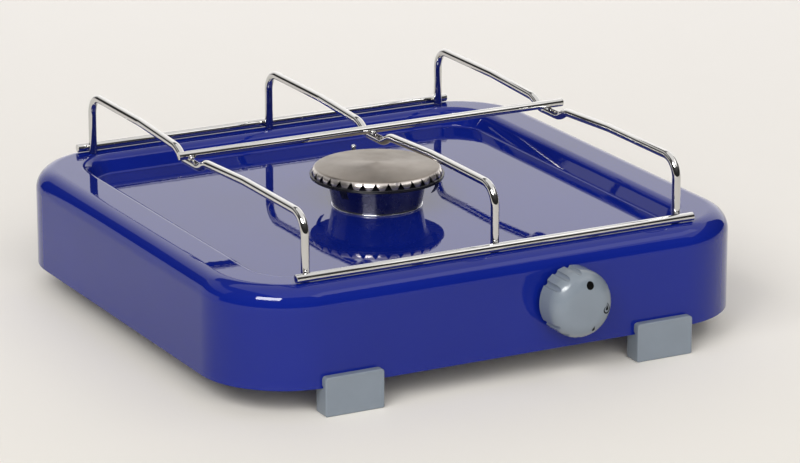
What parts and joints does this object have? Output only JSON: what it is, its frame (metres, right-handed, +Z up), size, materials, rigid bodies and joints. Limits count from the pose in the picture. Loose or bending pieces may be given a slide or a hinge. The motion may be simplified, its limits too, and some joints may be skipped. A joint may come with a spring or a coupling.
{
  "type": "single burner gas stove",
  "caption": "Square table-top gas stove with an enamelled drip-tray body, a round capped burner, a lift-off wire pan support, a front control knob and clip-on feet.",
  "frame": {"origin": "on the table, under the middle of the body, which is the middle of the part's box", "axes": "+Z up, +Y to the rear with the hose connection, the knob on the -Y side, +X to the right seen from the front"},
  "size_m": [0.338, 0.374, 0.1142],
  "materials": {
    "blue_enamel": "glossy cobalt blue enamel",
    "grey_plastic": "satin moulded plastic",
    "chrome_wire": "bright chrome plating",
    "cap_steel": "warm brushed stainless steel",
    "black_enamel": "dark blue-black enamel",
    "bright_ring": "bright turned aluminium",
    "grey_casting": "grey die casting",
    "zinc_steel": "zinc plated",
    "brass": "machined",
    "pipe_aluminium": "drawn tube",
    "copper": "drawn copper",
    "seal_rubber": "matt"
  },
  "bodies": {
    "stove": {"body_shell": "blue_enamel", "foot_front_left": "grey_plastic", "foot_front_right": "grey_plastic", "foot_rear_left": "grey_plastic", "foot_rear_right": "grey_plastic", "burner_cap": "cap_steel", "burner_cup": "black_enamel", "burner_seat_ring": "bright_ring", "mixing_tube": "grey_casting", "valve_body": "grey_casting", "burner_lock_nut": "zinc_steel", "inlet_lock_nut": "zinc_steel", "feed_pipe": "zinc_steel", "valve_bonnet": "zinc_steel", "valve_screws": "zinc_steel", "safety_spring": "zinc_steel", "magnet_housing": "zinc_steel", "thermocouple_tip": "zinc_steel", "injector_jet": "brass", "jet_holder": "brass", "inlet_connector": "brass", "feed_pipe_nut": "brass", "jet_pipe_nuts": "brass", "magnet_nut": "brass", "thermocouple_nut": "brass", "thermocouple_union": "brass", "jet_pipe": "pipe_aluminium", "thermocouple_lead": "copper", "magnet_core": "copper"},
    "pan_support": {"left_arch": "chrome_wire", "middle_arch": "chrome_wire", "right_arch": "chrome_wire", "front_rail": "chrome_wire", "rear_rail": "chrome_wire", "cross_rod": "chrome_wire"},
    "tap_plug": {"valve_plug": "brass", "spindle_spring": "zinc_steel"},
    "control_knob": {"knob": "grey_plastic", "knob_clip": "zinc_steel", "valve_spindle": "zinc_steel"},
    "safety_valve": {"safety_disc": "seal_rubber", "safety_stem": "zinc_steel"}
  },
  "joints": [
    {"name": "pan_support_lift", "type": "slide", "parent": "stove", "child": "pan_support", "axis": [0, 0, 1], "range_m": [0, 0.06]},
    {"name": "knob_turn", "type": "hinge", "parent": "stove", "child": "tap_plug", "pos_m": [0.037, -0.163, 0.046], "axis": [0, -1, 0], "range_deg": [0, 160]},
    {"name": "knob_push", "type": "slide", "parent": "tap_plug", "child": "control_knob", "axis": [0, 1, 0], "range_m": [0, 0.003], "stiffness_N_per_m": 1500, "deforming": ["spindle_spring"]},
    {"name": "safety_valve_lift", "type": "slide", "parent": "stove", "child": "safety_valve", "axis": [0, 1, 0], "range_m": [0, 0.003], "deforming": ["safety_spring"]}
  ],
  "couplings": [
    {"joint": "safety_valve_lift", "follows": "knob_push", "ratio": 1}
  ]
}
